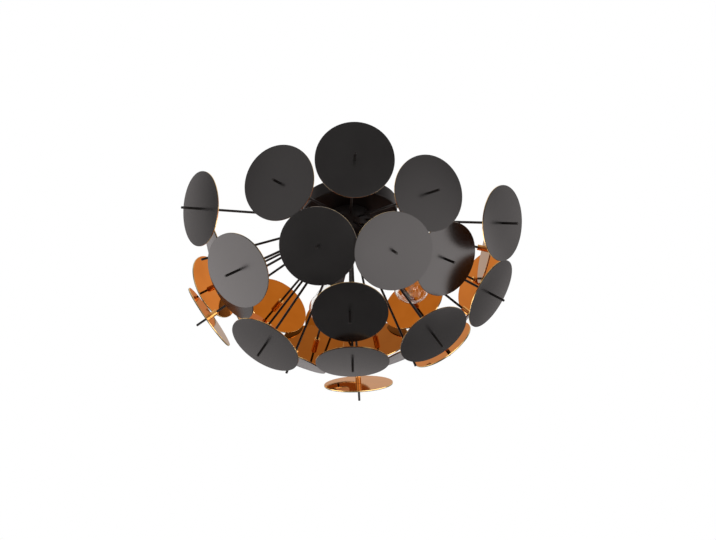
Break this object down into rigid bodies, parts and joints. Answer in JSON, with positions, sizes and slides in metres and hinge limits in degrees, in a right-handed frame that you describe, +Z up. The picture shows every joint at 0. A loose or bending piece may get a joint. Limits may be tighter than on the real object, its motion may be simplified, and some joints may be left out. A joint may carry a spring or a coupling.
{
  "type": "ceiling lamp",
  "caption": "Flush ceiling lamp: round discs on rods stand out of a half-ball hub around clear screw-in bulbs, below a shallow drum canopy.",
  "frame": {"origin": "the middle of the ceiling bracket's top face, which lies on the ceiling", "axes": "+Z up into the ceiling, -Y towards the front as pictured, +X to the right seen from the front"},
  "size_m": [0.559, 0.6289, 0.3196],
  "materials": {
    "black_metal": "satin",
    "disc_black": "satin",
    "disc_gold": "polished",
    "zinc_steel": "satin",
    "terminal_plastic": "matte",
    "holder_black": "satin",
    "holder_ceramic": "satin",
    "contact_brass": "satin",
    "cap_metal": "satin",
    "bulb_glass": "polished",
    "filament_metal": "satin"
  },
  "bodies": {
    "lamp": {"canopy": "black_metal", "ceiling_bracket": "zinc_steel", "canopy_screw_right": "black_metal", "canopy_screw_left": "black_metal", "terminal_block": "terminal_plastic", "canopy_nut": "zinc_steel", "hub_nipple": "zinc_steel", "hub_bridge": "zinc_steel", "hub_nut": "zinc_steel", "hub_dome": "black_metal", "disc_rod_upper_01": "disc_black", "disc_rod_upper_02": "disc_black", "disc_rod_upper_03": "disc_black", "disc_rod_upper_04": "disc_black", "disc_rod_upper_05": "disc_black", "disc_rod_upper_06": "disc_black", "disc_rod_upper_07": "disc_black", "disc_rod_upper_08": "disc_black", "disc_rod_upper_09": "disc_black", "disc_rod_upper_10": "disc_black", "disc_rod_upper_11": "disc_black", "disc_rod_upper_12": "disc_black", "disc_rod_middle_01": "disc_black", "disc_rod_middle_02": "disc_black", "disc_rod_middle_03": "disc_black", "disc_rod_middle_04": "disc_black", "disc_rod_middle_05": "disc_black", "disc_rod_middle_06": "disc_black", "disc_rod_middle_07": "disc_black", "disc_rod_middle_08": "disc_black", "disc_rod_middle_09": "disc_black", "disc_rod_middle_10": "disc_black", "disc_rod_middle_11": "disc_black", "disc_rod_middle_12": "disc_black", "disc_rod_lower_01": "disc_black", "disc_rod_lower_02": "disc_black", "disc_rod_lower_03": "disc_black", "disc_rod_lower_04": "disc_black", "disc_rod_lower_05": "disc_black", "disc_rod_lower_06": "disc_black", "disc_rod_bottom": "disc_black", "holder_arm_front": "black_metal", "holder_shell_front": "holder_black", "holder_core_front": "holder_ceramic", "holder_contact_front": "contact_brass", "holder_arm_right": "black_metal", "holder_shell_right": "holder_black", "holder_core_right": "holder_ceramic", "holder_contact_right": "contact_brass", "holder_arm_rear": "black_metal", "holder_shell_rear": "holder_black", "holder_core_rear": "holder_ceramic", "holder_contact_rear": "contact_brass"},
    "bulb_front": {"bulb_cap_front": "cap_metal", "bulb_glass_front": "bulb_glass"},
    "bulb_right": {"bulb_cap_right": "cap_metal", "bulb_glass_right": "bulb_glass"},
    "bulb_rear": {"bulb_cap_rear": "cap_metal", "bulb_glass_rear": "bulb_glass"}
  },
  "joints": [
    {"name": "bulb_front_unscrew", "type": "slide", "parent": "lamp", "child": "bulb_front", "axis": [-0.3147, -0.545, -0.7771], "range_m": [0, 0.022]},
    {"name": "bulb_right_unscrew", "type": "slide", "parent": "lamp", "child": "bulb_right", "axis": [0.6259, 0.0658, -0.7771], "range_m": [0, 0.022]},
    {"name": "bulb_rear_unscrew", "type": "slide", "parent": "lamp", "child": "bulb_rear", "axis": [-0.2759, 0.5656, -0.7771], "range_m": [0, 0.022]}
  ]
}
